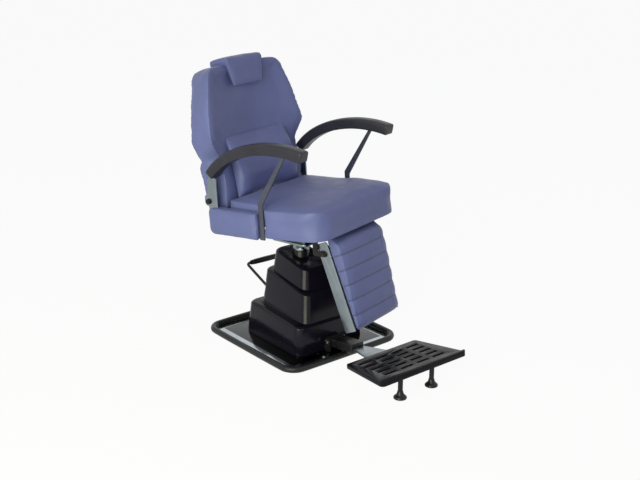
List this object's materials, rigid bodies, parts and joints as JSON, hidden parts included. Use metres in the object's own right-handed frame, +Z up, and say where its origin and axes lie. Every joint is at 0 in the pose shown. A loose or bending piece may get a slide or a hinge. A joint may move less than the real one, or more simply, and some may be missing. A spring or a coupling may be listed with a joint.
{
  "type": "barber chair",
  "caption": "Hydraulic barber chair with blue-violet upholstery, reclining back, linked leg rest, sliding headrest, pump lever, swivelling seat and hinged footplate on a square base.",
  "frame": {"origin": "on the floor, at the middle of the base plate's underside, on the axis of the lift column", "axes": "+Z up along the lift column; the base and its footrest face -Y; +X is the sitter's left when the seat faces the footrest; at rest the seat is turned 15 degrees about +Z from the base"},
  "size_m": [0.6988, 1.1126, 1.0972],
  "materials": {
    "vinyl": "satin",
    "arm_plastic": "satin",
    "cover_gloss": "gloss",
    "black_paint": "satin",
    "black_casting": "satin",
    "grey_steel": "satin",
    "dark_steel": "satin",
    "polished_steel": "polished",
    "chrome": "polished",
    "bronze": "satin",
    "black_rubber": "matte",
    "plywood": "matte"
  },
  "bodies": {
    "base": {"base_plate": "polished_steel", "base_rim": "black_rubber", "base_cover": "cover_gloss", "pump_cylinder": "black_paint", "pump_gland": "grey_steel", "lever_bracket_left": "black_paint", "lever_bracket_right": "black_paint", "footrest_lug_left": "black_paint", "footrest_lug_right": "black_paint"},
    "lever": {"lever_shaft": "black_paint", "pump_lever": "black_paint", "lever_grip": "black_rubber"},
    "ram": {"ram": "chrome", "swivel_bearing": "bronze"},
    "seat": {"swivel_plate": "grey_steel", "mount_gusset_left": "grey_steel", "mount_gusset_right": "grey_steel", "seat_rail_left": "grey_steel", "seat_rail_right": "grey_steel", "seat_crossbar_front": "grey_steel", "seat_crossbar_rear": "grey_steel", "seat_crossbar_hinge": "grey_steel", "seat_board": "plywood", "seat_cushion": "vinyl", "side_panel_left": "vinyl", "side_panel_right": "vinyl", "arm_strut_left": "dark_steel", "arm_strut_right": "dark_steel", "arm_post_left": "grey_steel", "arm_post_right": "grey_steel", "arm_pad_left": "arm_plastic", "arm_pad_right": "arm_plastic", "back_pivot_left": "black_paint", "back_pivot_right": "black_paint", "legrest_lug_left": "black_paint", "legrest_lug_right": "black_paint"},
    "back": {"back_board": "plywood", "backrest_cushion": "vinyl", "back_waist_pad": "vinyl", "lumbar_cushion": "vinyl", "back_hinge_left": "black_paint", "back_hinge_right": "black_paint", "headrest_socket_left": "grey_steel", "headrest_socket_right": "grey_steel"},
    "headrest": {"headrest_pad": "vinyl", "headrest_post_left": "chrome", "headrest_post_right": "chrome"},
    "legrest": {"legrest_hinge_rod": "black_paint", "legrest_board": "plywood", "legrest_pad": "vinyl", "legrest_tie": "grey_steel", "legrest_bar_left": "grey_steel", "legrest_bar_right": "grey_steel"},
    "footrest": {"footrest_pin": "chrome", "footrest_tube": "black_paint", "footrest_tongue": "grey_steel", "footplate": "black_casting", "foot_peg_left": "black_paint", "foot_peg_right": "black_paint"}
  },
  "joints": [
    {"name": "lever_pump", "type": "hinge", "parent": "base", "child": "lever", "pos_m": [0, 0.055, 0.18], "axis": [1, 0, 0], "range_deg": [-22, 0], "stiffness_Nm_per_rad": 6, "springref_deg": 20.05},
    {"name": "seat_lift", "type": "slide", "parent": "base", "child": "ram", "axis": [0, 0, 1], "range_m": [0, 0.15]},
    {"name": "seat_swivel", "type": "hinge", "parent": "ram", "child": "seat", "pos_m": [0, 0, 0.41], "axis": [0, 0, 1], "continuous": true},
    {"name": "back_recline", "type": "hinge", "parent": "seat", "child": "back", "pos_m": [-0.05771, 0.21539, 0.5842], "axis": [-0.9659, -0.2588, 0], "range_deg": [0, 45]},
    {"name": "headrest_slide", "type": "slide", "parent": "back", "child": "headrest", "axis": [-0.0692, 0.2581, 0.9636], "range_m": [0, 0.08]},
    {"name": "legrest_swing", "type": "hinge", "parent": "seat", "child": "legrest", "pos_m": [0.05745, -0.21442, 0.42666], "axis": [-0.9659, -0.2588, 0], "range_deg": [0, 58.5]},
    {"name": "footrest_fold", "type": "hinge", "parent": "base", "child": "footrest", "pos_m": [0, -0.208, 0.046], "axis": [-1, 0, 0], "range_deg": [0, 12]}
  ],
  "couplings": [
    {"joint": "legrest_swing", "follows": "back_recline", "ratio": 1.3}
  ]
}
